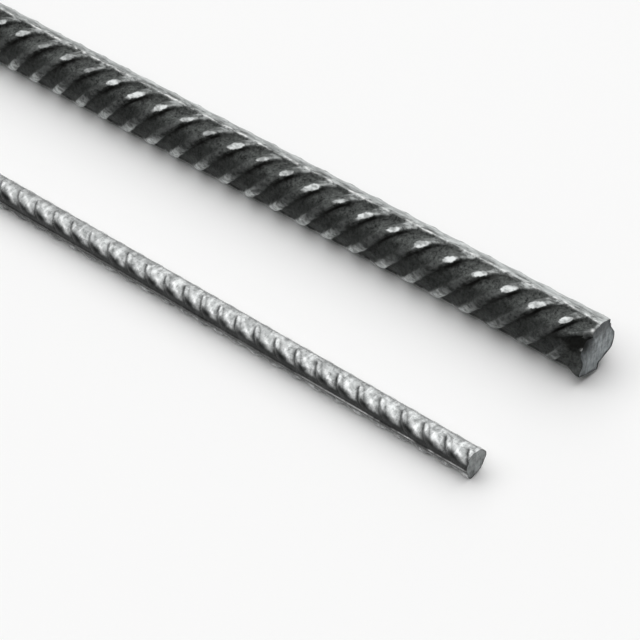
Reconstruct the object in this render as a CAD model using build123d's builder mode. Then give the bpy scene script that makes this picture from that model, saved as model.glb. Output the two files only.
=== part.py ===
from build123d import *
from math import cos, radians, sin, tan
import os

os.makedirs("parts", exist_ok=True)

# Loose ribbed reinforcing bars lying side by side on the floor.
# X runs along the bars with the cropped ends at +X, -Y is the front and Z is up.
# Lengths are in mm. Turns are in degrees, from straight up towards the front.

# Pair
bar_length = 1000.0
bar_spacing = 40.0  # axis to axis

# Thick bar, hot rolled: round core with lengthwise ribs on opposite sides
thick_core = 11.3  # diameter between the ribs
thick_rib_count = 2
thick_rib_rise = 0.85  # above the core
thick_rib_top = 2.5  # width of the crest before its corners are rounded
thick_rib_flank = 60.0  # slope of the sides
thick_rib_turn = -17.5  # the upper rib lies a little behind the top
thick_rib_round = 0.35  # crest corners
thick_rib_root = 0.6  # hollow between rib and core

# Cropped end of the thick bar: flat pressed by the lower blade, and the corner it drew out
blade_turn = 169.0
blade_depth = 4.8  # axis to the flat at the cut face
blade_run = 7.0  # length of the flat along the bar
corner_turn = 124.0
corner_reach = 6.75  # axis to the tip at the cut face
corner_run = 9.0  # length over which the corner grows
corner_spread = 26.0  # half the angle between its two feet
corner_foot_share = 0.85  # of the core radius
corner_start_share = 0.97  # of the core radius

# Thin bar: round core with fine lengthwise seams between three rows of ribs
thin_core = 5.8
thin_seam_count = 3
thin_seam_rise = 0.18
thin_seam_top = 0.34
thin_seam_flank = 58.0
thin_seam_turn = 95.0  # the front seam
thin_seam_round = 0.1
thin_rib_rise = 0.42  # height of the rolled ribs the bar rests on

# Derived sizes
thick_radius = thick_core / 2
thin_radius = thin_core / 2
half_length = bar_length / 2


def polar_angle(turn):
    """Sketch angle of a turn, with Y across the sketch and Z up."""
    return turn + 90


def radial_width(top, height, flank):
    """Width at the axis of a rib whose sides run straight in to it."""
    return top + 2 * height / tan(radians(flank))


def at_turn(turn, radius):
    """Point of the section at a turn and a distance from the axis."""
    return (-radius * sin(radians(turn)), radius * cos(radians(turn)))


# Section of the thick bar about its axis
thick_rib_height = thick_radius + thick_rib_rise
with BuildSketch() as thick_section:
    Circle(thick_radius)
    with PolarLocations(0, thick_rib_count, polar_angle(thick_rib_turn)):
        Trapezoid(
            radial_width(thick_rib_top, thick_rib_height, thick_rib_flank),
            thick_rib_height,
            thick_rib_flank,
            rotation=-90,
            align=(Align.CENTER, Align.MIN),
        )
    crest_corners = thick_section.vertices().sort_by_distance((0, 0, 0))[-2 * thick_rib_count :]
    fillet(crest_corners, thick_rib_round)
    hollows = thick_section.vertices().sort_by_distance((0, 0, 0))[: 2 * thick_rib_count]
    fillet(hollows, thick_rib_root)

# Section of the thin bar about its axis
thin_seam_height = thin_radius + thin_seam_rise
with BuildSketch() as thin_section:
    Circle(thin_radius)
    with PolarLocations(0, thin_seam_count, polar_angle(thin_seam_turn)):
        Trapezoid(
            radial_width(thin_seam_top, thin_seam_height, thin_seam_flank),
            thin_seam_height,
            thin_seam_flank,
            rotation=-90,
            align=(Align.CENTER, Align.MIN),
        )
    seam_corners = thin_section.vertices().sort_by_distance((0, 0, 0))[-2 * thin_seam_count :]
    fillet(seam_corners, thin_seam_round)

# Places on the floor: the thick bar lies on its lower rib, the thin one on its rolled ribs,
# and the pair is centred on the origin
thick_box = thick_section.sketch.bounding_box()
thin_box = thin_section.sketch.bounding_box()
thick_z = -thick_box.min.Y
thin_z = thin_radius + thin_rib_rise
thick_y = (bar_spacing - thin_box.min.X - thick_box.max.X) / 2
thin_y = thick_y - bar_spacing


def across(x, y, z):
    """Plane square to the bars, with Y across it and Z up."""
    return Plane(origin=(x, y, z), x_dir=(0, 1, 0), z_dir=(1, 0, 0))


def corner_outline(reach, foot):
    """Triangle with its tip at the drawn corner and its feet inside the core."""
    return [
        at_turn(corner_turn, reach),
        at_turn(corner_turn + corner_spread, foot),
        at_turn(corner_turn - corner_spread, foot),
    ]


# Thick bar
blade_out = at_turn(blade_turn, 1)
blade_clear = 2 * thick_rib_height
corner_foot = corner_foot_share * thick_radius
with BuildPart() as thick_bar:
    with BuildSketch(across(-half_length, thick_y, thick_z)):
        add(thick_section.sketch)
    extrude(amount=bar_length)
    with BuildSketch(across(half_length - corner_run, thick_y, thick_z)):
        Polygon(*corner_outline(corner_start_share * thick_radius, corner_foot), align=None)
    with BuildSketch(across(half_length, thick_y, thick_z)):
        Polygon(*corner_outline(corner_reach, corner_foot), align=None)
    loft()
    with BuildSketch(
        Plane(
            origin=(half_length, thick_y, thick_z),
            x_dir=(1, 0, 0),
            z_dir=(0, -blade_out[1], blade_out[0]),
        )
    ):
        Polygon(
            (0, blade_depth),
            (0, blade_clear),
            (-blade_run, blade_clear),
            (-blade_run, thick_rib_height),
            align=None,
        )
    extrude(amount=blade_clear, both=True, mode=Mode.SUBTRACT)

thick_bar.part.label = "thick_bar"
export_step(thick_bar.part, "parts/thick_bar.step")

# Thin bar
with BuildPart() as thin_bar:
    with BuildSketch(across(-half_length, thin_y, thin_z)):
        add(thin_section.sketch)
    extrude(amount=bar_length)

thin_bar.part.label = "thin_bar"
export_step(thin_bar.part, "parts/thin_bar.step")
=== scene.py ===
"""Two loose ribbed reinforcing bars on a pale floor: a thick hot-rolled one and a thin one."""

import math

import bmesh
import bpy
import numpy as np
from bpy.props import FloatProperty, FloatVectorProperty, PointerProperty
from mathutils import Matrix, Vector


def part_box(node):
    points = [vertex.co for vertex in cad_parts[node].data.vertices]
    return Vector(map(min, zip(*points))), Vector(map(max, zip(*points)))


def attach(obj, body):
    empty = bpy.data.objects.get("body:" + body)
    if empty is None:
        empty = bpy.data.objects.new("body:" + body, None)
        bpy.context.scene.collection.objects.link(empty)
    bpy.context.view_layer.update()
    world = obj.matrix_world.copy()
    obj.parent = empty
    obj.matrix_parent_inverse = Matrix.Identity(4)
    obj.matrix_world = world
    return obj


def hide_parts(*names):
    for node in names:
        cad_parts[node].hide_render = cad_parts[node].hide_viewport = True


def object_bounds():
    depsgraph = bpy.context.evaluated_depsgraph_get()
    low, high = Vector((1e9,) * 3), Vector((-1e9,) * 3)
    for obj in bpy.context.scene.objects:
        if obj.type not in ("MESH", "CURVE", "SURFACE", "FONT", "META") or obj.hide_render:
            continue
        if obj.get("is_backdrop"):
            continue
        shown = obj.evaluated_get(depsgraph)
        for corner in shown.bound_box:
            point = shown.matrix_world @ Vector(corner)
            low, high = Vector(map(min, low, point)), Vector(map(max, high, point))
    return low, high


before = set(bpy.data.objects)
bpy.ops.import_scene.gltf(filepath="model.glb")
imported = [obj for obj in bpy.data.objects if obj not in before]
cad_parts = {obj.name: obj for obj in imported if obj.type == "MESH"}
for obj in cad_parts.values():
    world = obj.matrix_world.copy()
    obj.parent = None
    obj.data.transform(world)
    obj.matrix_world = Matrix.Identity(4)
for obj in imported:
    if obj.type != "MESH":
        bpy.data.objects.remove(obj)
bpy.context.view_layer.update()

MM = 0.001
deg = math.radians

# Seeds of what varies along the bars
RIB_HEIGHT_SEED = 11
RIB_EDGE_SEED = 12
GROOVE_SEED = 13
SWELL_SEED = 14
FLAT_TURN_SEED = 15
WANDER_SEED = 17
FLAT_DEPTH_SEED = 32398  # picked from many for its order of large and small flats
THIN_RIB_SEED = 21
SIDE_SEED = 31
FINGER_SEED = 32

CUT_DARK = (0.0048, 0.0052, 0.0048)  # darker colour of the cut faces towards their rims, and painted shade where the pressed hollow reaches them

bl_info = {
    "name": "Ribbed reinforcing bars",
    "version": (1, 0, 0),
    "blender": (4, 5, 0),
    "location": "View3D > Sidebar > Rebar",
    "description": "Builds a thick and a thin ribbed bar over their CAD solids, and a plain stage",
    "category": "Object",
}


# Sizes and colours

def length(name, description, default):
    return FloatProperty(name=name, description=description, default=default, unit="LENGTH", precision=5)


def lengths(name, description, default):
    return FloatVectorProperty(name=name, description=description, default=default, unit="LENGTH",
                               size=len(default))


def angle(name, description, degrees):
    return FloatProperty(name=name, description=description, default=deg(degrees), subtype="ANGLE")


def colour(name, description, default):
    return FloatVectorProperty(name=name, description=description, default=default, subtype="COLOR",
                               size=3, min=0, max=1)


class ThickBarSettings(bpy.types.PropertyGroup):
    core: length("Core radius", "Radius between the ribs", 5.65 * MM)
    rib_rise: length("Long rib height", "Height of the lengthwise ribs above the core", 0.85 * MM)
    rib_top: angle("Long rib half top", "Half the angle the flat top takes up", 9.6)
    rib_foot: angle("Long rib half foot", "Half the angle the foot takes up", 16.0)
    rib_flare: angle("Long rib flare", "How much wider each way the rib gets at the cropped end", 5.5)
    rib_turn: angle("Long rib turn", "Upper rib from straight up, towards the front", -17.5)
    cross_rise: length("Cross rib height", "Height of the slanting ribs above the core", 0.85 * MM)
    pitch: length("Cross rib spacing", "Distance from rib to rib along the bar", 7.606 * MM)
    lean: FloatProperty(name="Cross rib lean", description="Length along the bar per length around it",
                        default=0.88)
    crest_place: length("Crest place", "Where a crest would meet the upper rib's middle", 497.9 * MM)
    squeeze: length("Squeeze", "How far the last ribs are pushed together by the cropping", 1.7 * MM)
    crown: length("Crest crown", "How far the crests fall off to their edges", 0.10 * MM)
    facet_turn: angle("Burnished turn", "Where the crests are burnished, from straight up to the front", 22.0)
    facet_depth: length("Burnished depth", "How far the burnished flats cut into the crests", 0.165 * MM)
    scale_dark: colour("Mill scale, dark", "Dark mill scale", (0.0086, 0.0094, 0.009))
    scale_grey: colour("Mill scale, grey", "Greyer patches of mill scale", (0.179, 0.191, 0.183))
    # Dark colour of the painted shade in the pressed hollow and the painted shadow on the flanks behind the
    # crests
    shade_and_dark_rim: colour("Soot", "Soot in the pressed hollow and behind the crests", (0.0025, 0.0026, 0.0018))
    # Also the colour of the painted floor light on the lower crest ends and of the painted highlight along
    # the ridge
    worn: colour("Worn steel", "Scuffed tops of the lengthwise ribs", (0.613, 0.638, 0.631))
    burnished: colour("Burnished steel", "Flats rubbed bright on the crests", (0.479, 0.495, 0.491))
    # The glints at the cropped rim are painted highlights, the chipped rib edges are wear
    fresh: colour("Fresh steel", "Chipped rib edges and glints at the cropped rim", (0.85, 0.86, 0.85))
    cut: colour("Cropped steel", "Cropped end faces", (0.30, 0.325, 0.335))


class ThinBarSettings(bpy.types.PropertyGroup):
    core: length("Core radius", "Radius between the ribs", 2.9 * MM)
    seam_rise: length("Seam height", "Height of the fine lengthwise seams", 0.16 * MM)
    seam_turn: angle("Seam turn", "Front seam from straight up, towards the front", 94.0)
    cross_rise: length("Rib height", "Height of the crescent ribs above the core", 0.54 * MM)
    cross_half: length("Rib half width", "Half the width of a crescent rib along the bar", 1.4 * MM)
    cross_reach: angle("Rib half reach", "Half the angle that a crescent rib takes up", 46.0)
    pitch: length("Rib spacing", "Distance from rib to rib along the bar", 5.58 * MM)
    lean: FloatProperty(name="Rib lean", description="Length along the bar per length around it",
                        default=0.727)
    crest_place: length("Crest place", "Where a rib's middle lies along the bar", 500.2 * MM)
    steel_dark: colour("Rolled steel, dark", "Darker grey of the rolled skin", (0.169, 0.178, 0.177))
    steel_light: colour("Rolled steel, light", "Lighter grey of the rolled skin", (0.832, 0.852, 0.85))
    # Painted shade on the rib edges and on top far from the cut end, and dark specks
    shade_and_specks: colour("Dull steel", "Edges of the ribs, and specks", (0.0195, 0.0208, 0.0203))
    # Colour of the painted highlights on the rib tops, tongues and fingers
    rubbed: colour("Rubbed steel", "Rubbed tops, and fingers that reach down from them", (0.95, 0.963, 0.961))
    # Painted shade on the sides, and along a line by the upper outline
    side: colour("Side", "Dark skin of the sides", (0.0116, 0.0125, 0.0121))
    # Colour of the painted highlight along the front seam and on the ribs below it
    seam: colour("Seam", "Front seam where it is worn", (0.85, 0.85, 0.85))
    # Colour of the painted floor light on the ribs below the front seam
    low: colour("Low ribs", "Ribs below the front seam", (0.85, 0.86, 0.86))
    cut: colour("Cut steel", "Cut end faces", (0.29, 0.305, 0.305))


class StageSettings(bpy.types.PropertyGroup):
    floor: colour("Floor", "Pale floor", (0.92, 0.92, 0.918))
    floor_half: length("Floor half width", "Half the width of the floor", 12.0)
    top: FloatProperty(name="Top lamp", description="Radiance of the wide lamp overhead", default=1.7)
    top_size: lengths("Top lamp size", "Sides of the lamp overhead", (33.75, 51.75))
    top_place: lengths("Top lamp place", "Middle of the lamp overhead", (-8.82, 4.5, 18.0))
    top_target: lengths("Top lamp target", "Where the lamp overhead faces", (-8.82, 4.5, 0.0))
    rear: FloatProperty(name="Rear lamp", description="Radiance of the lamp behind", default=0.9)
    rear_size: lengths("Rear lamp size", "Sides of the lamp behind", (22.5, 11.25))
    rear_place: lengths("Rear lamp place", "Middle of the lamp behind", (-10.2, 20.25, 6.75))
    rear_target: lengths("Rear lamp target", "Where the lamp behind faces", (0.42, 0.0, 0.0))
    room: FloatProperty(name="Room light", description="Strength of the even light all round", default=0.1)
    camera: lengths("Camera place", "Where the camera stands", (0.6976, -0.2954, 0.3248))
    azimuth: angle("Camera azimuth", "Camera heading, 0 looks along +Y", 40.94)
    elevation: angle("Camera elevation", "Camera height angle", 40.26)
    lens: FloatProperty(name="Lens", description="Focal length", default=134.3, unit="CAMERA")


# Numbers

def smoothstep(low, high, value):
    t = np.clip((value - low) / (high - low), 0.0, 1.0)
    return t * t * (3.0 - 2.0 * t)


def between(start, full, fade, end, value):
    """1 from full to fade, easing to 0 at start and at end."""
    return smoothstep(start, full, value) * (1 - smoothstep(fade, end, value))


def hump(middle, width, value):
    """Bell curve, 1 at its middle."""
    return np.exp(-(((value - middle) / width) ** 2))


def smooth_max(a, b, width):
    return np.maximum(a, b) + np.maximum(width - np.abs(a - b), 0.0) ** 2 / (4.0 * width)


def smooth_min(a, b, width):
    return -smooth_max(-a, -b, width)


def wrapped(value, period):
    return (value + period / 2) % period - period / 2


def drift(values, seed, amount, knots=4096, span=4.0):
    """Smooth seeded wander along a line, knots per span metres."""
    rng = np.random.default_rng(seed)
    table = rng.uniform(-1.0, 1.0, knots)
    at = (np.asarray(values) / span * knots) % knots
    low = np.floor(at).astype(int)
    t = at - low
    t = t * t * (3 - 2 * t)
    return amount * (table[low % knots] * (1 - t) + table[(low + 1) % knots] * t)


def per_rib(index, seed, amount):
    """Seeded number for each rib."""
    table = np.random.default_rng(seed).uniform(-1.0, 1.0, 1024)
    return amount * table[np.asarray(index).astype(int) % 1024]


# Bars as sheared grids

def turn_of(co, axis):
    """Turns of points about a bar's axis (y, z), from straight up towards the front."""
    return np.arctan2(axis[0] - co[:, 1], co[:, 2] - axis[1])


def points_at(x, radius, turn, axis):
    """Points from places along a bar, distances from its axis and turns."""
    return np.stack([x, axis[0] - radius * np.sin(turn), axis[1] + radius * np.cos(turn)],
                    axis=-1).reshape(-1, 3)


def solved(rows, shift, x_low, x_high, moved):
    """Places along a bar, for each row and shift, that a function moves to their sum."""
    margin = 50 * MM
    xs = np.linspace(x_low - margin, x_high + margin, 22001)
    return np.interp(rows[:, None] + shift[None, :], moved(xs), xs)


def rib_rows(start, stop, pitch, place, fine_from, fine_steps, coarse_steps):
    """Positions along a bar that follow the ribs by steps in mm, finer near the cropped end."""
    rows = []
    for k in range(math.floor((start - place) / pitch) - 1, math.ceil((stop - place) / pitch) + 2):
        at = place + k * pitch
        rows.extend(at + step * MM for step in (fine_steps if at > fine_from else coarse_steps))
    rows = np.array(sorted(rows))
    rows = rows[(rows > start) & (rows < stop)]
    return np.concatenate([[start], rows, [stop]])


def columns(*runs):
    """Angles in radians from runs of (first, last, step) in degrees."""
    out = []
    for first, last, step in runs:
        out.extend(np.arange(first, last - 1e-6, step))
    return np.radians(np.array(out))


def grid_faces(rows, cols, closed):
    i = np.arange(rows - 1)[:, None] * cols
    j = np.arange(cols if closed else cols - 1)[None, :]
    j2 = (j + 1) % cols
    return np.stack([i + j, i + j2, i + cols + j2, i + cols + j], axis=-1).reshape(-1, 4).tolist()


def zip_faces(chain_a, xs_a, chain_b, xs_b):
    """Triangles between two chains of points that run the same way at their own spacing."""
    faces = []
    i = j = 0
    while i < len(chain_a) - 1 or j < len(chain_b) - 1:
        step_a = i < len(chain_a) - 1 and (j == len(chain_b) - 1 or xs_a[i + 1] <= xs_b[j + 1])
        if step_a:
            faces.append((chain_a[i], chain_b[j], chain_a[i + 1]))
            i += 1
        else:
            faces.append((chain_a[i], chain_b[j], chain_b[j + 1]))
            j += 1
    return faces


def trimmed(points, faces, x_low, x_high):
    """Mesh of the grid, cut square at both ends and left open there."""
    mesh = bpy.data.meshes.new("grid")
    mesh.from_pydata(points.tolist(), [], faces)
    bm = bmesh.new()
    bm.from_mesh(mesh)
    bm.verts.layers.float.new("rim")
    bpy.data.meshes.remove(mesh)
    reach, slack = 30 * MM, 1e-7
    for x, normal in ((x_low, -1.0), (x_high, 1.0)):
        near = [f for f in bm.faces if abs(f.calc_center_median().x - x) < reach]
        geom = near + list({e for f in near for e in f.edges}) + list({v for f in near for v in f.verts})
        bmesh.ops.bisect_plane(bm, geom=geom, dist=slack, plane_co=(x, 0, 0), plane_no=(normal, 0, 0))
        beyond = [v for v in bm.verts if (v.co.x - x) * normal > slack]
        bmesh.ops.delete(bm, geom=beyond, context="VERTS")
    return bm


def end_loop(bm, x):
    """Verts of the open loop at an end, in order, and its edges."""
    edges = [e for e in bm.edges if e.is_boundary and all(abs(v.co.x - x) < 1e-6 for v in e.verts)]
    links = {}
    for e in edges:
        for v in e.verts:
            links.setdefault(v, []).append(e)
    first = edges[0].verts[0]
    loop = [first]
    edge = edges[0]
    while True:
        nxt = edge.other_vert(loop[-1])
        if nxt is first:
            break
        loop.append(nxt)
        edge = next(e for e in links[nxt] if e is not edge)
    return loop, edges


def sheared(depth, sign):
    """Uneven relief of a cropped face, up to twice the depth inwards."""
    def relief(y, z):
        waves = math.sin(y * 2100 + z * 800) + math.sin(z * 1700 - y * 900)
        return sign * (depth * waves / 2 - depth)
    return relief


def sawn(depth, sign):
    """Even relief of a cut face, up to twice the depth inwards."""
    return lambda y, z: -sign * depth * (1 + math.sin(y * 3100 + z * 1900))


def close_end(bm, loop, edges, centre, shares, relief):
    """Closes an end with rings of faces that shrink to its centre."""
    flat_share, rim_share = 0.35, 0.88
    for e in edges:
        if all(abs(v.co.x - centre[0]) < 0.2 * MM for v in e.verts):
            e.smooth = False
    rim = bm.verts.layers.float["rim"]
    for v in loop:
        v[rim] = 1.0
    centre = Vector(centre)
    last = loop
    for scale in shares:
        ring = []
        eased = max(0.0, (scale - flat_share) / (1 - flat_share)) ** 2
        for v in loop:
            spot = centre + (v.co - centre) * scale
            spot.x = centre.x + (v.co.x - centre.x) * eased + relief(spot.y, spot.z)
            ring.append(bm.verts.new(spot))
            ring[-1][rim] = max(0.0, (scale - rim_share) / (1 - rim_share))
        for k in range(len(loop)):
            n = (k + 1) % len(loop)
            bm.faces.new((last[k], last[n], ring[n], ring[k])).material_index = 1
        last = ring
    hub = bm.verts.new((centre.x + relief(centre.y, centre.z), centre.y, centre.z))
    for k in range(len(loop)):
        bm.faces.new((last[k], last[(k + 1) % len(loop)], hub)).material_index = 1


def finished(bm, name, masks, materials):
    """Object from the bmesh, smooth shaded, with its masks as attributes."""
    bmesh.ops.recalc_face_normals(bm, faces=bm.faces)
    for f in bm.faces:
        f.smooth = True
    mesh = bpy.data.meshes.new(name)
    bm.to_mesh(mesh)
    bm.free()
    for key, values in masks(np.array([v.co[:] for v in mesh.vertices])).items():
        attribute = mesh.attributes.new(key, "FLOAT", "POINT")
        attribute.data.foreach_set("value", np.clip(values, 0, 1).astype(np.float32))
    for material in materials:
        mesh.materials.append(material)
    obj = bpy.data.objects.new(name, mesh)
    bpy.context.scene.collection.objects.link(obj)
    return obj


# Materials

class Nodes:
    """Material in the making, with short names for the nodes that it takes."""

    def __init__(self, name):
        self.material = bpy.data.materials.new(name)
        self.material.use_nodes = True
        self.tree = self.material.node_tree
        self.tree.nodes.clear()
        self.shader = self.add("ShaderNodeBsdfPrincipled")
        self.add("ShaderNodeOutputMaterial", {"Surface": self.shader.outputs[0]})
        self.place = self.add("ShaderNodeTexCoord").outputs["Object"]

    def fill(self, node, sockets):
        """Sets sockets by name, or links them where an output is given."""
        for key, value in sockets.items():
            if isinstance(value, bpy.types.NodeSocket):
                self.tree.links.new(value, node.inputs[key])
            else:
                node.inputs[key].default_value = value

    def add(self, kind, sockets=None, **values):
        node = self.tree.nodes.new(kind)
        for key, value in values.items():
            setattr(node, key, value)
        self.fill(node, sockets or {})
        return node

    def done(self, sockets):
        """Material with its shader's sockets filled."""
        self.fill(self.shader, sockets)
        return self.material

    def mask(self, name):
        return self.add("ShaderNodeAttribute", attribute_name=name).outputs["Fac"]

    def maths(self, operation, a, b, clamp=False):
        return self.add("ShaderNodeMath", {0: a, 1: b}, operation=operation, use_clamp=clamp).outputs[0]

    def plus(self, a, b, clamp=False):
        return self.maths("ADD", a, b, clamp)

    def times(self, a, b):
        return self.maths("MULTIPLY", a, b)

    def most(self, a, b):
        return self.maths("MAXIMUM", a, b)

    def scaled(self, value, gain, start):
        """Start plus gain times the value."""
        return self.plus(self.times(value, gain), start)

    def mixed(self, factor, a, b):
        """Colour mix of a and b."""
        a, b = (c if isinstance(c, bpy.types.NodeSocket) else (*c[:3], 1.0) for c in (a, b))
        return self.add("ShaderNodeMix", {0: factor, 6: a, 7: b}, data_type="RGBA").outputs[2]

    def blend(self, factor, a, b):
        """Number mix of a and b."""
        return self.add("ShaderNodeMix", {0: factor, 2: a, 3: b}, data_type="FLOAT").outputs[0]

    def noise(self, scale, detail, low, high, stretch=(1, 1, 1), roughness=0.55):
        """Noise of which low to high fills 0 to 1."""
        moved = self.add("ShaderNodeMapping", {"Vector": self.place, "Scale": stretch}).outputs[0]
        raw = self.add("ShaderNodeTexNoise", {
            "Vector": moved, "Scale": scale, "Detail": detail, "Roughness": roughness}).outputs["Fac"]
        return self.add("ShaderNodeMapRange", {"Value": raw, "From Min": low, "From Max": high}).outputs[0]

    def bump(self, height, strength, distance):
        return self.add("ShaderNodeBump", {
            "Height": height, "Strength": strength, "Distance": distance}).outputs[0]


def mill_scale(cfg):
    """Dark grainy scale, scuffed and pitted lengthwise ribs, worn crest ends and burnished crest flats, with
    painted shade between the ribs, on the rib flanks and in the pressed hollow, painted floor light on the
    lower crest ends, painted highlights along the pressed ridge and at the glints, and rib bands darker far
    from the cropped end as painted shade.
    """
    n = Nodes("mill_scale")
    patches = n.noise(scale=420.0, detail=5.0, low=0.3, high=0.7, roughness=0.6)
    grain = n.noise(scale=1500.0, detail=5.0, low=0.32, high=0.68, roughness=0.75)
    lines = n.noise(scale=800.0, detail=6.0, low=0.38, high=0.6, stretch=(0.14, 1, 1), roughness=0.7)
    chips = n.noise(scale=900.0, detail=5.0, low=0.42, high=0.58, stretch=(0.6, 1, 1), roughness=0.65)
    gaps = n.noise(scale=520.0, detail=4.0, low=0.4, high=0.5, stretch=(0.5, 1, 1))
    pits = n.noise(scale=950.0, detail=4.0, low=0.5, high=0.61, stretch=(0.5, 1, 1), roughness=0.65)
    rib, crest, facet, polished = (n.mask(name) for name in ("long_rib", "crest", "facet", "polished"))
    tone = n.plus(n.times(patches, 0.35), n.scaled(grain, 0.78, -0.19), clamp=True)
    base = n.mixed(tone, cfg.scale_dark, cfg.scale_grey)
    # Painted shade between the ribs, and on the sides mid between the long ribs
    base = n.mixed(n.times(n.mask("shade"), 0.75), base, cfg.scale_dark)
    # Painted shadow on the rib flanks, and painted shade in the pressed hollow, in the dark colour
    broken = n.times(n.mask("flank"), n.scaled(gaps, 0.35, 0.65))
    base = n.mixed(n.most(broken, n.times(n.mask("shade_and_dark_rim"), 0.93)), base, cfg.shade_and_dark_rim)
    # Worn crest ends, lifted by painted floor light on the lower ones, and the painted highlight along the
    # pressed ridge
    speckle = n.plus(n.times(chips, 0.7), n.scaled(n.mask("lower_sheen"), 0.34, 0.1))
    base = n.mixed(n.times(crest, speckle), base, cfg.worn)
    scuffed = n.most(n.times(rib, n.scaled(lines, 0.9, 0.1)), n.times(polished, 0.68))
    pitted = n.times(pits, n.scaled(polished, -0.5, 0.7))
    scuffed = n.times(scuffed, n.scaled(pitted, -1.0, 1.0))
    base = n.mixed(scuffed, base, cfg.worn)
    fresh = n.times(n.mask("corner"), n.times(chips, gaps))
    rubbed = n.times(facet, n.scaled(chips, 0.5, 0.5))
    bare = n.most(fresh, rubbed)
    base = n.mixed(rubbed, base, cfg.burnished)
    # Chipped rib edges, and painted glints at the cropped rim
    base = n.mixed(n.most(fresh, n.mask("glint")), base, cfg.fresh)
    rough = n.blend(n.most(rib, crest), n.scaled(grain, 0.2, 0.5), 0.42)
    height = n.plus(n.plus(n.times(grain, 0.6), patches), n.times(n.times(lines, rib), 0.9))
    height = n.times(height, n.scaled(facet, -0.75, 1.0))
    return n.done({"Base Color": base, "Metallic": n.most(bare, scuffed),
                   "Roughness": n.blend(bare, rough, 0.3), "IOR": 1.4, "Specular IOR Level": 0.12,
                   "Normal": n.bump(height, strength=0.8, distance=0.15 * MM)})


def rolled_steel(cfg):
    """Grey rolled skin with faint streaks and dark specks, with painted highlights on the rib tops, tongues,
    fingers, front seam and the ribs below it, painted shade on the rib edges, the sides and the far top, and
    painted floor light on the low ribs.
    """
    n = Nodes("rolled_steel")
    streaks = n.noise(scale=1100.0, detail=4.0, low=0.32, high=0.68, stretch=(0.15, 1, 1))
    patches = n.noise(scale=620.0, detail=5.0, low=0.32, high=0.68, roughness=0.65)
    specks = n.noise(scale=1500.0, detail=4.0, low=0.54, high=0.68, roughness=0.6)
    breaks = n.noise(scale=210.0, detail=3.0, low=0.4, high=0.56, stretch=(1, 0.3, 0.3))
    sweeps = n.noise(scale=700.0, detail=4.0, low=0.48, high=0.6, stretch=(1, 0.25, 0.25))
    tone = n.plus(n.plus(n.times(streaks, 0.25), n.times(patches, 0.4)), n.times(sweeps, 0.4))
    base = n.mixed(tone, cfg.steel_dark, cfg.steel_light)
    # Painted shade on the rib edges and on the far top, with dark specks
    shade_and_specks = n.most(n.times(n.mask("edge"), n.scaled(patches, -0.45, 0.9)), n.times(specks, 0.5))
    shade_and_specks = n.most(shade_and_specks, n.times(n.mask("far_shade"), 0.3))
    base = n.mixed(shade_and_specks, base, cfg.shade_and_specks)
    # In turn: painted highlights, painted shade on the sides, painted highlights on the seam and painted
    # floor light on the low ribs
    for name, pattern, gain, start, tint in (
            ("painted_highlight", sweeps, 0.5, 0.3, cfg.rubbed), ("side_shade", patches, 0.09, 0.91, cfg.side),
            ("finger_highlight", sweeps, 0.3, 0.7, cfg.rubbed), ("seam", breaks, 0.9, 0.03, cfg.seam),
            ("low", sweeps, 0.6, 0.15, cfg.low)):
        base = n.mixed(n.times(n.mask(name), n.scaled(pattern, gain, start)), base, tint)
    height = n.plus(n.times(streaks, 0.3), patches)
    return n.done({"Base Color": base, "Metallic": 0.45, "Roughness": n.scaled(patches, 0.12, 0.22),
                   "IOR": 1.45, "Specular IOR Level": 0.35,
                   "Normal": n.bump(height, strength=0.55, distance=0.07 * MM)})


def cut_steel(name, tone):
    """Sheared face with drag marks from the blade, darker towards its rim and its upper side, and in painted
    shade where the pressed hollow reaches it.
    """
    n = Nodes(name)
    drag = n.noise(scale=1500.0, detail=4.0, low=0.3, high=0.7, stretch=(0.3, 1.0, 0.25))
    patches = n.noise(scale=650.0, detail=5.0, low=0.34, high=0.66, roughness=0.65)
    worn = n.plus(n.times(drag, 0.45), n.times(patches, 0.55))
    base = n.mixed(worn, [c * 0.3 for c in tone], [c * 1.6 for c in tone])
    # Darker towards the rim, and painted shade where the pressed hollow reaches the face
    dark = n.most(n.mask("shade_and_dark_rim"), n.times(n.mask("rim"), 0.7))
    return n.done({"Base Color": n.mixed(dark, base, CUT_DARK), "Metallic": 0.35, "Roughness": 0.5,
                   "Specular IOR Level": 0.2, "Normal": n.bump(worn, strength=0.6, distance=0.15 * MM)})


# Thick bar

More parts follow.
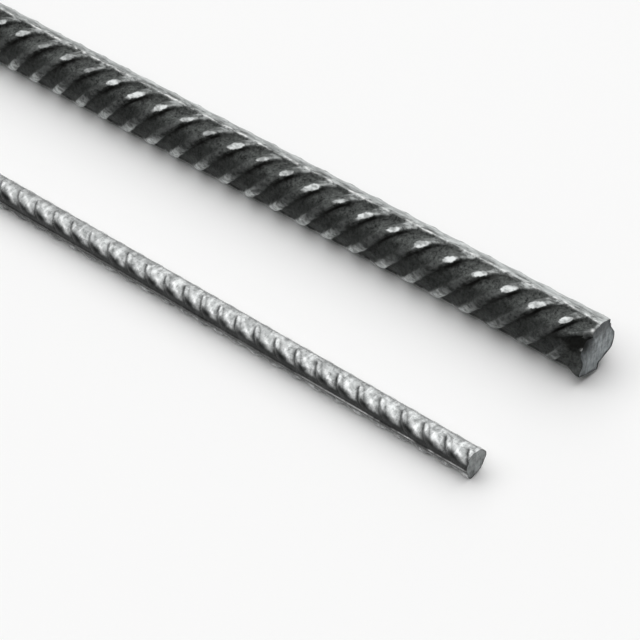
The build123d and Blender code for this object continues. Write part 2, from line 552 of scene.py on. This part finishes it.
class ThickForm:
    """Radius of the thick bar at any place and angle."""

    CROP_REACH = 10 * MM  # length over which the cropping pushed the ribs about
    BACK_RIBS = 300  # number of the first rib in the back row
    WANDER_STEP = 0.137  # keeps the wander of each rib apart from the next
    SIDE_STEP = 7.0  # keeps the ragged edges of the front and the back apart
    BLADE_FLATS = (  # turn, distance from the axis, first and last angle from the turn
        (200, 4.22 * MM, -19, 80), (163, 5.4 * MM, -60, 18), (303, 5.25 * MM, -24, 7))

    def __init__(self, cfg, low, high):
        self.cfg = cfg
        self.axis = ((low[1] + high[1]) / 2, (low[2] + high[2]) / 2)
        self.x_low, self.x_high = low[0], high[0]
        self.around = cfg.lean * (cfg.core + cfg.cross_rise / 2)

    def at_crop(self, x):
        return smoothstep(self.x_high - self.CROP_REACH, self.x_high, x)

    def squeezed(self, x):
        return self.cfg.squeeze * self.at_crop(x)

    def slant(self, phi):
        """Shift along the bar of a rib at an angle; the back half lies half a spacing on."""
        back = between(0, deg(14), deg(166), math.pi, -phi)
        return self.around * np.abs(phi) + self.cfg.pitch / 2 * back

    def place(self, x, turn):
        """Place of a point among the slanting ribs, and its angle from the upper rib."""
        phi = wrapped(turn - self.cfg.rib_turn, math.tau)
        return x + self.squeezed(x) + self.slant(phi), phi

    def along(self, rows, phi):
        """Places along the bar of rows that follow the ribs."""
        return solved(rows, -self.slant(phi), self.x_low, self.x_high, lambda xs: xs + self.squeezed(xs))

    def parts(self, x, turn):
        """Radius, and what the wear follows: distance from the crest, angle from the upper rib,
        slanting rib, long rib, depth of the rubbed flat, angle from the long rib, number of the flat."""
        cfg = self.cfg
        w, phi = self.place(x, turn)
        index = np.round((w - cfg.crest_place) / cfg.pitch)
        rib = index + np.where(phi > 0, 0, self.BACK_RIBS)
        d = w - cfg.crest_place - index * cfg.pitch
        d = d + drift(turn * cfg.core + self.WANDER_STEP * rib, WANDER_SEED, 0.22 * MM)
        from_rib = np.minimum(np.abs(phi), math.pi - np.abs(phi))
        low = 1 - smoothstep(deg(15), deg(48), from_rib)
        foot = -2.8 * MM - 0.5 * MM * low
        cross = between(foot, foot + 1.8 * MM, 0.75 * MM, 1.75 * MM, d)
        crown = np.clip(np.abs(d + 0.1 * MM) / (0.9 * MM), 0, 1) ** 2 * cfg.crown
        tall = (1 + per_rib(rib, RIB_HEIGHT_SEED, 0.05)) * (1 - 0.2 * low)
        edge = from_rib + drift(x + self.SIDE_STEP * np.sign(phi), RIB_EDGE_SEED, deg(1.1), 3000)
        wide = deg(6) * smoothstep(0.5 * MM, 5 * MM, self.x_high - x)
        edge = edge - wide * ((phi < 0) & (phi > -math.pi / 2))
        edge = edge - cfg.rib_flare * self.at_crop(x)
        long_rib = 1 - smoothstep(cfg.rib_top, cfg.rib_foot, edge)
        groove = hump(0, deg(2.6), phi + drift(x, GROOVE_SEED, deg(2.0), 900))
        rise = smooth_max(cfg.rib_rise * long_rib - 0.10 * MM * groove,
                          (cfg.cross_rise * tall - crown) * cross, 0.2 * MM)
        radius = cfg.core + rise + drift(x, SWELL_SEED, 0.02 * MM, 700)
        bulge = hump(0, deg(20), wrapped(turn + deg(43), math.tau))
        radius = radius + (0.125 + 0.14 * cross) * MM * bulge
        number = per_rib(rib, FLAT_DEPTH_SEED, 1.0)
        flat = cfg.core + cfg.cross_rise - cfg.facet_depth * (1 + 0.26 * number)
        facet_at = cfg.facet_turn + per_rib(rib, FLAT_TURN_SEED, deg(3.2))
        away = wrapped(turn - facet_at, math.pi)
        limit = flat / np.maximum(np.cos(away), 0.5)
        cut = np.where(np.abs(away) < deg(16), radius - limit, -1.0)
        radius = np.where(cut > 0, limit, radius)
        return radius, d, phi, cross, long_rib, cut, edge, number

    def radius(self, x, turn):
        return self.parts(x, turn)[0]

    def pressed(self, x, turn):
        """How far a point lies past the edge of the hollow that the blade pressed, and that hollow's mask."""
        edge = np.interp(turn, (deg(20), deg(60), deg(125)), (0.0, 7.2 * MM, 3.5 * MM))
        past = x - self.x_high + edge
        soft = 1.0 * MM + 2.0 * MM * smoothstep(deg(58), deg(80), turn)
        return past, smoothstep(0.0, soft, past) * between(deg(15), deg(24), deg(98), deg(120), turn)

    def rolled(self, x, turn):
        """How far the blade rolled the rim of the face back."""
        near = np.clip(1 - (self.x_high - x) / (4 * MM), 0, 1) ** 2
        return 1.0 * MM * between(deg(20), deg(44), deg(74), deg(108), turn) * near

    def cropped(self, x, turn, radius):
        """Radius after the blades: drawn corner, hollow with a ridge, lip by the upper rib, flats below."""
        back = self.x_high - x
        near = hump(0, deg(19), wrapped(turn - deg(123), math.tau))
        drawn = 5.5 * MM + 1.75 * MM * (1 - smoothstep(0, 9 * MM, back)) ** 2 * near
        radius = smooth_max(radius, drawn, 0.2 * MM)
        past, hollow = self.pressed(x, turn)
        ridge = smoothstep(-2.8 * MM, -0.1 * MM, past) * between(deg(18), deg(26), deg(54), deg(72), turn)
        radius = smooth_max(radius, self.cfg.core + 0.7 * MM * ridge, 0.15 * MM)
        floor = 5.15 * MM + 0.35 * MM * smoothstep(deg(60), deg(90), turn)
        radius = radius + (floor - radius) * hollow
        radius = radius - 0.5 * MM * hollow * (1 - smoothstep(0, 3 * MM, back)) ** 2
        lip = (1 - smoothstep(0.3 * MM, 1.5 * MM, back)) * between(deg(-12), deg(-6), deg(20), deg(27), turn)
        radius = radius + (np.maximum(radius, 6.2 * MM) - radius) * lip
        behind = between(deg(62), deg(70), deg(125), deg(135), -turn)
        radius = radius + (smooth_min(radius, 5.65 * MM + 0.4 * back, 0.2 * MM) - radius) * behind
        for middle, depth, first, last in self.BLADE_FLATS:
            away = wrapped(turn - deg(middle), math.tau)
            within = between(deg(first), deg(first + 9), deg(last), deg(last + 9), away)
            limit = depth + 2.3 * MM * np.clip(back / (7 * MM), 0, 1) + 9 * MM * (back > 8 * MM)
            flat = np.where(np.cos(away) > 0.3, limit / np.maximum(np.cos(away), 0.3), 1.0)
            radius = radius + (smooth_min(radius, flat, 0.3 * MM) - radius) * within
        return radius


class REBAR_OT_thick_bar(bpy.types.Operator):
    """Build the thick hot-rolled bar over its CAD solid"""
    bl_idname = "rebar.thick_bar"
    bl_label = "Thick bar"

    # Steps from each crest in mm, and runs of angles from the upper rib
    FINE = (-3.3, -2.7, -2.25, -1.85, -1.45, -1.05, -0.7, -0.35, 0.0, 0.35, 0.65, 0.9, 1.15, 1.4, 1.75, 2.8)
    COARSE = (-2.2, -1.0, 0.0, 0.9, 1.85)
    FRONT = ((0, 8, 4), (8, 18, 1.7), (18, 28, 3), (28, 54, 2.4), (54, 150, 7), (150, 162, 3.5),
             (162, 172, 1.7), (172, 180, 4))
    BEHIND = ((0, 8, 4), (8, 18, 1.8), (18, 28, 4), (28, 126, 8), (126, 152, 3), (152, 162, 4),
              (162, 172, 1.8), (172, 180, 4))
    FINE_LENGTH = 182 * MM  # from the cropped end, with the fine steps
    HALVED_LENGTH = 8.5 * MM  # from the cropped end, with faces cut in four
    CROP_LENGTH = 12 * MM  # from the cropped end, as far as the blades reached
    CROPPED_RINGS = (0.98, 0.94, 0.88, 0.8, 0.7, 0.58, 0.4, 0.2)
    FAR_RINGS = (0.98, 0.88, 0.7, 0.4)

    def execute(self, context):
        cfg = context.scene.rebar_thick
        form = ThickForm(cfg, *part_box("thick_bar"))
        reach = form.around * math.pi + cfg.pitch
        rows = rib_rows(form.x_low - 2 * MM, form.x_high + reach + 2 * MM, cfg.pitch, cfg.crest_place,
                        form.x_high - self.FINE_LENGTH, self.FINE, self.COARSE)
        phi = np.concatenate([columns(*self.FRONT), [math.pi], -columns(*self.BEHIND)[:0:-1]])
        x = form.along(rows, phi)
        turn = np.broadcast_to(phi + cfg.rib_turn, x.shape)
        points = points_at(x, form.radius(x, turn), turn, form.axis)
        bm = trimmed(points, grid_faces(*x.shape, closed=True), form.x_low, form.x_high)
        near = [f for f in bm.faces if f.calc_center_median().x > form.x_high - self.HALVED_LENGTH]
        bmesh.ops.subdivide_edges(bm, edges=list({e for f in near for e in f.edges}), cuts=1,
                                  use_grid_fill=True)
        ends = ((form.x_high, end_loop(bm, form.x_high), self.CROPPED_RINGS, sheared(0.1 * MM, 1)),
                (form.x_low, end_loop(bm, form.x_low), self.FAR_RINGS, sheared(0.03 * MM, -1)))
        self.crop(bm, form)
        for at, (loop, edges), shares, relief in ends:
            close_end(bm, loop, edges, (at, *form.axis), shares, relief)
        bar = finished(bm, "ThickBar", lambda co: self.masks(form, co),
                       (mill_scale(cfg), cut_steel("cropped_face", cfg.cut)))
        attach(bar, "root")
        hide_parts("thick_bar")
        return {"FINISHED"}

    def crop(self, bm, form):
        """Moves the verts near the cropped end to where the blades left them."""
        near = [v for v in bm.verts if v.co.x > form.x_high - self.CROP_LENGTH]
        co = np.array([v.co[:] for v in near])
        x, turn = co[:, 0], turn_of(co, form.axis)
        radius = form.cropped(x, turn, form.radius(x, turn))
        for v, point in zip(near, points_at(x - form.rolled(x, turn), radius, turn, form.axis)):
            v.co = point

    def masks(self, form, co):
        """Wear of the bar, with lengths in mm and angles in degrees."""
        radians = turn_of(co, form.axis)
        _, d, phi, cross, long_rib, cut, edge, number = form.parts(co[:, 0], radians)
        past, hollow = form.pressed(co[:, 0], radians)
        kept = 1 - hollow
        turn, from_top, edge = np.degrees(radians), np.degrees(np.abs(phi)), np.degrees(edge)
        d, cut, past, back = d / MM, cut / MM, past / MM, (form.x_high - co[:, 0]) / MM
        across, up = (co[:, 1] - form.axis[0]) / MM, (co[:, 2] - form.axis[1]) / MM
        far = smoothstep(45, 100, back)

        # Painted shadow on the flanks behind the crests and painted shade between the ribs
        after = np.where(d > 0, d, d + form.cfg.pitch / MM)
        flank = between(0.35, 0.6, 1.5, 2.1, d) * (1 - long_rib)
        flank = flank * smoothstep(20, 42, from_top) * (1 - 0.8 * smoothstep(68, 92, from_top))
        shade = between(0.7, 1.0, 1.0, 4.6, after) * (1 - long_rib)
        middle = smoothstep(50, 76, from_top) * (1 - 0.35 * smoothstep(104, 124, from_top))

        # Worn crest ends, painted floor light on the lower crest ends, and bands of the long ribs
        upper = 1 - smoothstep(24, 52, from_top)
        lower_sheen = smoothstep(90, 130, from_top) * smoothstep(3, 8, back)
        lower_sheen = lower_sheen * (0.45 + 0.55 * smoothstep(20, 38, back))
        line = 0.15 + 0.85 * between(-0.6, 0.2, 0.6, 0.9, d)
        line = np.maximum(line, 1 - smoothstep(15, 25, from_top))
        worn = smoothstep(0.5, 0.95, cross) * (0.1 + 0.9 * np.maximum(upper * line * (1 - 0.3 * far), lower_sheen))
        # The bands are darker along their front half, and darker far from the cropped end as painted shade
        band = smoothstep(0.82, 0.99, long_rib) * (
            1 - (0.12 + 0.22 * far) * smoothstep(-30, -16, turn) - 0.08 * far)

        # Cropped end: lip, painted highlight along the ridge, painted glints, painted shade in the hollow,
        # and the face darker towards its rim
        lip = (1 - smoothstep(0.3, 1.1, back)) * between(-40, -30, 6, 18, turn)
        # Painted highlight along the pressed ridge
        ridge = hump(-0.1, 0.22, past) * between(18, 24, 44, 60, turn) * (back > 0.3)
        # Painted glints at the cropped rim
        glint = np.maximum(hump(19, 3.6, turn) * hump(0.4, 0.4, back),
                           hump(66, 3, turn) * hump(0.8, 0.35, back))
        radial = np.hypot(across, up)
        # Painted shade in the pressed hollow, with a dark patch of it at the hollow's far end
        shade_and_dark_rim = hollow * (1 - 0.5 * smoothstep(62, 92, turn))
        shade_and_dark_rim = shade_and_dark_rim * smoothstep(-0.5, 5.2, radial * np.cos(radians - deg(60)))
        shade_and_dark_rim = shade_and_dark_rim * (1 - 0.2 * smoothstep(3.0, 6.5, back))
        shade_and_dark_rim = np.maximum(shade_and_dark_rim, 0.65 * hump(7.5, 2.2, back) * hump(63, 9, turn))
        # The cropped face darker towards its upper and front rim
        rim = np.maximum(0.7 * smoothstep(1.5, 5.0, up),
                         0.5 * smoothstep(3.0, 5.6, radial * np.cos(radians - deg(100))))
        shade_and_dark_rim = np.maximum(shade_and_dark_rim, rim * (1 - smoothstep(0.2, 0.3, back)))
        facet = smoothstep(0.0, 0.02, cut) * smoothstep(0.8, 4.0, back)
        return {
            # Crest wear, with painted floor light on the lower crest ends and a painted highlight along the
            # ridge
            "crest": np.maximum(np.maximum(worn * kept, lip), 0.45 * ridge),
            "lower_sheen": lower_sheen * kept,
            "shade_and_dark_rim": shade_and_dark_rim,
            "flank": flank * kept,
            "shade": np.maximum(0.55 * shade, 0.9 * middle) * kept,
            "long_rib": band,
            "polished": band * (1 - smoothstep(-23, -15, turn)) * (phi > -math.pi / 2),
            "corner": hump(math.degrees(form.cfg.rib_top) - 0.6, 2.0, edge) * (phi > 0),
            "facet": facet * (1 - far * (0.15 - 0.25 * number)),
            "glint": glint * (1 - smoothstep(1.5, 2.0, back)),
        }


# Thin bar

class ThinForm:
    """Radius of the thin bar at any place and angle."""

    ROWS = 3
    REAR_ROW = 1  # leans the other way, and is shorter and lower
    ROW_RIBS = 400  # rib numbers kept for each row

    def __init__(self, cfg, low, high):
        self.cfg = cfg
        self.axis = (high[1] - cfg.core, low[2] + cfg.core)
        self.x_low, self.x_high = low[0], high[0]
        self.around = cfg.lean * cfg.core

    def row(self, tau):
        """Row of a point, its angle from the row's middle, and its shift along the bar."""
        width = math.tau / self.ROWS
        row = np.clip(np.floor(tau / width), 0, self.ROWS - 1)
        psi = tau - (row + 0.5) * width
        lean = np.where(row == self.REAR_ROW, -1.0, 1.0)
        return row, psi, self.around * psi * lean

    def slip(self, x):
        """How far the ribs lie on from their even spacing, beyond a stretch where they crowd."""
        return 2.4 * MM * smoothstep(57 * MM, 79 * MM, self.x_high - x)

    def along(self, rows, shift):
        """Places along the bar of rows that follow the ribs."""
        return solved(rows, shift, self.x_low, self.x_high, lambda xs: xs - self.slip(xs))

    def parts(self, x, tau):
        """Radius, and what the wear follows: share across the rib, fullness, distance from it, rib."""
        cfg = self.cfg
        row, psi, shift = self.row(tau)
        w = x - shift - self.slip(x)
        index = np.round((w - cfg.crest_place) / cfg.pitch)
        d = w - cfg.crest_place - index * cfg.pitch
        arc = np.clip(np.abs(psi) / (cfg.cross_reach * np.where(row == self.REAR_ROW, 0.88, 1.0)), 0, 1)
        full = np.cos(arc * math.pi / 2)
        half = cfg.cross_half * (0.3 + 0.7 * np.sqrt(full))
        tall = cfg.cross_rise * np.where(row == self.REAR_ROW, 0.7, 1.0) * full ** 1.2
        tall = tall * (1 + per_rib(index + self.ROW_RIBS * row, THIN_RIB_SEED, 0.05))
        side = d / half
        bump = between(-0.95, -0.35, 0.15, 1.1, side)
        from_seam = math.tau / self.ROWS / 2 - np.abs(psi)
        seam = 1 - smoothstep(deg(2.5), deg(7.5), from_seam)
        rise = smooth_max(tall * bump, cfg.seam_rise * seam, 0.06 * MM)
        rise = rise + 0.1 * MM * hump(0, deg(24), wrapped(tau + cfg.seam_turn + deg(52), math.tau))
        return cfg.core + rise, side, full, d, bump

    def tau(self, turn):
        """Angle from the front seam, 0 to a full turn."""
        return (turn - self.cfg.seam_turn) % math.tau


class REBAR_OT_thin_bar(bpy.types.Operator):
    """Build the thin bar over its CAD solid"""
    bl_idname = "rebar.thin_bar"
    bl_label = "Thin bar"

    # Steps from each rib's middle in mm, and runs of angles from the seam before each row
    FINE = (-2.0, -1.4, -1.2, -1.0, -0.8, -0.6, -0.35, 0.0, 0.35, 0.65, 0.95, 1.25, 1.5, 2.0, 2.35, 2.7, 3.1)
    COARSE = (-1.9, -1.15, -0.5, 0.5, 1.15, 1.9)
    REST = ((2.5, 8, 2.75), (8, 20, 4), (20, 100, 10), (100, 112, 4), (112, 118, 3))
    FRONT = ((2.5, 8, 1.8), (8, 20, 4), (20, 52, 8), (52, 100, 4), (100, 112, 4), (112, 118, 1.8))
    FINE_LENGTH = 140 * MM  # from the cut end, with the fine steps
    RINGS = (0.97, 0.88, 0.6, 0.3)

    def execute(self, context):
        cfg = context.scene.rebar_thin
        form = ThinForm(cfg, *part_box("thin_bar"))
        reach = form.around * math.pi / form.ROWS
        rows = rib_rows(form.x_low - reach - 6 * MM, form.x_high + reach + 3 * MM, cfg.pitch, cfg.crest_place,
                        form.x_high - self.FINE_LENGTH, self.FINE, self.COARSE)
        rest, front = columns(*self.REST), columns(*self.FRONT)
        tau = np.concatenate([rest, np.radians([120.0]), rest + deg(120), np.radians([240.0]),
                              front + deg(240), np.radians([357.5])])
        x = form.along(rows, form.row(tau)[2])
        taus = np.broadcast_to(tau, x.shape)
        points = points_at(x, form.parts(x, taus)[0], taus + cfg.seam_turn, form.axis)
        first = [i * len(tau) for i in range(len(rows))]
        last = [i + len(tau) - 1 for i in first]
        faces = grid_faces(*x.shape, closed=False) + zip_faces(last, x[:, -1], first, x[:, 0])
        bm = trimmed(points, faces, form.x_low, form.x_high)
        for at, sign in ((form.x_high, 1), (form.x_low, -1)):
            loop, edges = end_loop(bm, at)
            close_end(bm, loop, edges, (at, *form.axis), self.RINGS, sawn(0.02 * MM, sign))
        bar = finished(bm, "ThinBar", lambda co: self.masks(form, co),
                       (rolled_steel(cfg), cut_steel("cut_face", cfg.cut)))
        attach(bar, "root")
        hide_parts("thin_bar")
        return {"FINISHED"}

    def masks(self, form, co):
        """Wear of the bar, with lengths in mm and angles in degrees."""
        tau = form.tau(turn_of(co, form.axis))
        _, side, full, d, bump = form.parts(co[:, 0], tau)
        turn = np.degrees((tau + form.cfg.seam_turn) % math.tau)
        d, pitch, back = d / MM, form.cfg.pitch / MM, (form.x_high - co[:, 0]) / MM
        far, farther = smoothstep(60, 110, back), smoothstep(95, 150, back)
        front = 1 - smoothstep(150, 200, turn)

        # Ribs: painted shade on their edges and painted highlights on their tops
        left = between(-1.75, -1.3, -1.0, -0.45, d)
        slope = between(0.2, 0.36, 0.5, 0.7, side)
        right = between(0.85, 0.98, 1.02, 1.15, side)
        painted_highlight = between(-0.5, -0.3, -0.05, 0.2, side) * smoothstep(0.3, 0.75, full)

        # Painted shade on the sides, with a wavy upper edge
        start = 52 - 6 * farther - 14 * np.cos(math.tau * (d - 0.1) / pitch)
        start = start + drift(co[:, 0], SIDE_SEED, 5.0, 1500)
        sides = np.maximum(smoothstep(start - 14, start + 20, turn), smoothstep(57, 72, turn))
        sides = sides * (1 - (0.7 - 0.5 * farther) * smoothstep(100 + 8 * far, 134, turn))
        sides = np.maximum(sides, (0.9 - 0.3 * far) * hump(105, 3.2, turn))
        sides = sides * (1 - smoothstep(180, 230, turn))

        # Painted highlights: bright tongues between the ribs, and their ends as fingers in the sides
        middle = 1.3 + 1.4 * np.clip((turn - 12) / 38, 0, 1.3)
        aside = wrapped(d - middle, pitch)
        tongue = hump(0, 0.6, aside) * between(5, 20, 54, 66, turn) * (1 - 0.3 * far + 0.5 * farther)
        finger_highlight = hump(0, 0.55, aside) * between(32, 42, 54, 66, turn)

        # Painted highlights on the front seam and the ribs below it, painted floor light on the low ribs, and
        # painted shade on top far from the cut end
        line = between(88.5, 91, 97, 99.5, turn) * (0.75 - 0.65 * smoothstep(15, 60, back))
        ribs = (0.7 - 0.3 * far - 0.3 * farther) * smoothstep(0.4, 0.9, bump * full)
        low = smoothstep(108, 122, turn) * front * (0.55 + 0.45 * bump)
        upper = smoothstep(330, 340, turn) + 1 - smoothstep(0, 6, turn)
        return {
            # Painted shade on the rib edges
            "edge": (left + 0.4 * right + 0.75 * slope) * smoothstep(0.1, 0.75, full) * (1 - 0.3 * far),
            # Painted shade on the sides and along a line by the upper outline
            "side_shade": np.maximum(sides, 0.6 * between(318, 328, 333, 345, turn)),
            # Painted shade on top far from the cut end
            "far_shade": far * (upper + 0.75 * between(12, 26, 50, 60, turn)),
            # Painted highlights on the rib tops, tongues and fingers
            "finger_highlight": finger_highlight * (0.9 + drift(co[:, 0], FINGER_SEED, 0.35, 1500)),
            # Painted floor light on the low ribs, and painted highlights on the seam and the ribs below it
            "low": low * (1 - 0.3 * far - 0.2 * farther),
            "painted_highlight": np.maximum(0.5 * painted_highlight * (1 - smoothstep(40, 56, turn) * front), tongue),
            "seam": np.maximum(line, ribs * smoothstep(104, 116, turn)) * front,
        }


# Stage

class REBAR_OT_stage(bpy.types.Operator):
    """Put down the pale floor, the lamps and the camera"""
    bl_idname = "rebar.stage"
    bl_label = "Stage"

    def execute(self, context):
        cfg = context.scene.rebar_stage
        self.floor(cfg)
        self.lamp("Top", cfg.top, cfg.top_size, cfg.top_place, cfg.top_target, (0, 1, 0))
        self.lamp("Rear", cfg.rear, cfg.rear_size, cfg.rear_place, cfg.rear_target, (0, 0, 1))
        world = bpy.data.worlds.new("Room")
        world.use_nodes = True
        background = world.node_tree.nodes["Background"]
        background.inputs["Color"].default_value = (1, 1, 1, 1)
        background.inputs["Strength"].default_value = cfg.room
        context.scene.world = world
        self.camera(context, cfg)
        context.scene.view_settings.view_transform = "Standard"
        return {"FINISHED"}

    def floor(self, cfg):
        bm = bmesh.new()
        bmesh.ops.create_grid(bm, x_segments=8, y_segments=8, size=cfg.floor_half)
        mesh = bpy.data.meshes.new("Floor")
        bm.to_mesh(mesh)
        bm.free()
        floor = bpy.data.objects.new("Floor", mesh)
        floor.location.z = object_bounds()[0][2]
        bpy.context.scene.collection.objects.link(floor)
        mesh.materials.append(Nodes("pale_floor").done({
            "Base Color": (*cfg.floor, 1), "Roughness": 0.9, "Specular IOR Level": 0.1}))
        floor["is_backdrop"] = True

    def lamp(self, name, radiance, size, place, target, upright):
        """Rectangle lamp that faces a target, with its second side along the upright direction."""
        data = bpy.data.lights.new(name, "AREA")
        data.shape = "RECTANGLE"
        data.size, data.size_y = size
        data.energy = radiance * math.pi * size[0] * size[1]
        lamp = bpy.data.objects.new(name, data)
        away = (Vector(place) - Vector(target)).normalized()
        across = Vector(upright).cross(away).normalized()
        lamp.matrix_world = Matrix.Translation(Vector(place)) @ Matrix(
            (across, away.cross(across), away)).transposed().to_4x4()
        bpy.context.scene.collection.objects.link(lamp)

    def camera(self, context, cfg):
        data = bpy.data.cameras.new("Camera")
        data.lens = cfg.lens
        data.sensor_width = 36.0
        data.clip_start = 0.01
        camera = bpy.data.objects.new("Camera", data)
        a, e = cfg.azimuth, cfg.elevation
        back = Vector((math.sin(a) * math.cos(e), -math.cos(a) * math.cos(e), math.sin(e)))
        right = Vector((math.cos(a), math.sin(a), 0))
        camera.matrix_world = Matrix.Translation(Vector(cfg.camera)) @ Matrix(
            (right, back.cross(right), back)).transposed().to_4x4()
        context.scene.collection.objects.link(camera)
        context.scene.camera = camera


class REBAR_PT_panel(bpy.types.Panel):
    """Buttons and sizes of the bars and the stage"""
    bl_idname = "REBAR_PT_panel"
    bl_label = "Ribbed reinforcing bars"
    bl_space_type = "VIEW_3D"
    bl_region_type = "UI"
    bl_category = "Rebar"

    def draw(self, context):
        scene = context.scene
        for operator, group in ((REBAR_OT_thick_bar, scene.rebar_thick),
                                (REBAR_OT_thin_bar, scene.rebar_thin),
                                (REBAR_OT_stage, scene.rebar_stage)):
            box = self.layout.box()
            box.operator(operator.bl_idname)
            for key in group.__annotations__:
                box.prop(group, key)


CLASSES = (ThickBarSettings, ThinBarSettings, StageSettings, REBAR_OT_thick_bar, REBAR_OT_thin_bar,
           REBAR_OT_stage, REBAR_PT_panel)
GROUPS = {"rebar_thick": ThickBarSettings, "rebar_thin": ThinBarSettings, "rebar_stage": StageSettings}


def register():
    for cls in CLASSES:
        bpy.utils.register_class(cls)
    for name, group in GROUPS.items():
        setattr(bpy.types.Scene, name, PointerProperty(type=group))


def unregister():
    for name in GROUPS:
        delattr(bpy.types.Scene, name)
    for cls in reversed(CLASSES):
        bpy.utils.unregister_class(cls)


def main():
    register()
    bpy.ops.rebar.thick_bar()
    bpy.ops.rebar.thin_bar()
    bpy.ops.rebar.stage()


if __name__ == "__main__":
    main()
